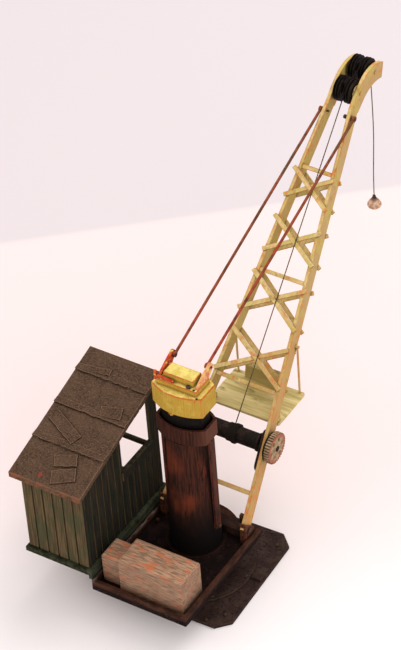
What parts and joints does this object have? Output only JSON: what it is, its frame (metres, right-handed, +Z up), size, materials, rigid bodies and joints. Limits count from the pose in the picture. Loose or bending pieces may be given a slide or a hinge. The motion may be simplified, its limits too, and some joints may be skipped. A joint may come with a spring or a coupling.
{
  "type": "toy tower crane",
  "caption": "Weathered model of a slewing post crane with a fixed lattice jib on two stays, a hoist winch, four head sheaves, a plank cabin and ballast blocks on its deck.",
  "frame": {"origin": "the slewing axis at the underside of the base plate", "axes": "+Z up along the slewing axis, +Y from the post along the jib, +X to the operator's right when facing along the jib"},
  "size_m": [0.0583, 0.1331, 0.1096],
  "materials": {
    "base": "matt weathered black",
    "bolts": "dull, dark",
    "deck": "matt dark brown with rubbed red edges",
    "beam": "matt grey-brown",
    "foot": "matt red-brown",
    "post": "matt dark brown with rust streaks",
    "neck": "matt black",
    "straps": "matt red-brown",
    "cap": "matt cream-yellow with rust",
    "rust": "matt orange-red over cream",
    "stays": "satin red-brown",
    "jib": "matt cream with rubbed orange edges",
    "platform": "matt olive cream",
    "sheaves": "matt black",
    "winch": "matt black",
    "gear": "cream-grey with red-brown rim",
    "rope": "twisted thread",
    "weight": "satin copper",
    "knot": "matt",
    "cabin": "matt dark green, worn brown at the edges",
    "roof": "matt tar paper",
    "ballast": "grey-brown with rubbed orange"
  },
  "bodies": {
    "base": {"base_plate": "base", "base_ring": "base", "base_bolts": "bolts", "base_clip": "base", "pedestal": "base", "king_pin": "bolts"},
    "winch": {"drum": "winch", "drum_axle": "winch", "rope_wraps": "rope", "brake_disc": "winch", "winch_gear": "gear"},
    "upper_right_sheave": {"sheave_upper_right": "sheaves"},
    "lower_right_sheave": {"sheave_lower_right": "sheaves"},
    "upper_left_sheave": {"sheave_upper_left": "sheaves"},
    "lower_left_sheave": {"sheave_lower_left": "sheaves"},
    "fall": {"rope_fall": "rope"},
    "hook": {"hook_weight": "weight", "hook_knot": "knot"},
    "superstructure": {"back_beam": "beam", "back_braces": "jib", "ballast_large": "ballast", "ballast_small": "ballast", "cabin_beams": "cabin", "cabin_boards": "cabin", "cabin_floor": "cabin", "cabin_front_wall": "cabin", "cabin_left_wall": "cabin", "cabin_right_wall": "cabin", "cap": "cap", "cap_lever": "rust", "cap_lugs": "rust", "collar": "post", "deck_peg": "deck", "deck_tray": "deck", "drum_brackets": "winch", "foot_brackets": "foot", "foot_lugs": "deck", "foot_pins": "bolts", "front_braces": "jib", "head_axles": "bolts", "hoist_rope": "rope", "jib_arm_left": "jib", "jib_arm_right": "jib", "jib_struts": "jib", "neck": "neck", "platform_brackets": "platform", "platform_hangers": "jib", "platform_plate": "platform", "platform_saddle": "platform", "post": "post", "roof_board": "roof", "roof_felt": "roof", "sheave_spacers": "sheaves", "side_straps": "straps", "stay_left": "stays", "stay_pins": "bolts", "stay_right": "stays", "tail_plate": "deck", "tower_bolts": "bolts", "turntable": "deck"}
  },
  "joints": [
    {"name": "slew", "type": "hinge", "parent": "base", "child": "superstructure", "pos_m": [0, 0, 0.009], "axis": [0, 0, 1], "continuous": true},
    {"name": "winch_turn", "type": "hinge", "parent": "superstructure", "child": "winch", "pos_m": [0, 0.0212, 0.03225], "axis": [1, 0, 0], "range_deg": [-915, 725]},
    {"name": "upper_right_spin", "type": "hinge", "parent": "superstructure", "child": "upper_right_sheave", "pos_m": [0, 0.09732, 0.10589], "axis": [1, 0, 0], "range_deg": [-915, 725]},
    {"name": "lower_right_spin", "type": "hinge", "parent": "superstructure", "child": "lower_right_sheave", "pos_m": [0, 0.08907, 0.10413], "axis": [1, 0, 0], "range_deg": [-915, 725]},
    {"name": "upper_left_spin", "type": "hinge", "parent": "superstructure", "child": "upper_left_sheave", "pos_m": [0, 0.09732, 0.10589], "axis": [1, 0, 0], "continuous": true},
    {"name": "lower_left_spin", "type": "hinge", "parent": "superstructure", "child": "lower_left_sheave", "pos_m": [0, 0.08907, 0.10413], "axis": [1, 0, 0], "continuous": true},
    {"name": "fall_swing", "type": "hinge", "parent": "superstructure", "child": "fall", "pos_m": [0.00098, 0.10032, 0.10589], "axis": [1, 0, 0], "range_deg": [-12, 12]},
    {"name": "hoist", "type": "slide", "parent": "fall", "child": "hook", "axis": [0, 0, 1], "range_m": [-0.048, 0.038], "deforming": ["rope_fall"]}
  ],
  "couplings": [
    {"joint": "hoist", "follows": "winch_turn", "m_per_rad": 0.003},
    {"joint": "upper_right_spin", "follows": "winch_turn", "ratio": 1},
    {"joint": "lower_right_spin", "follows": "winch_turn", "ratio": 1}
  ]
}
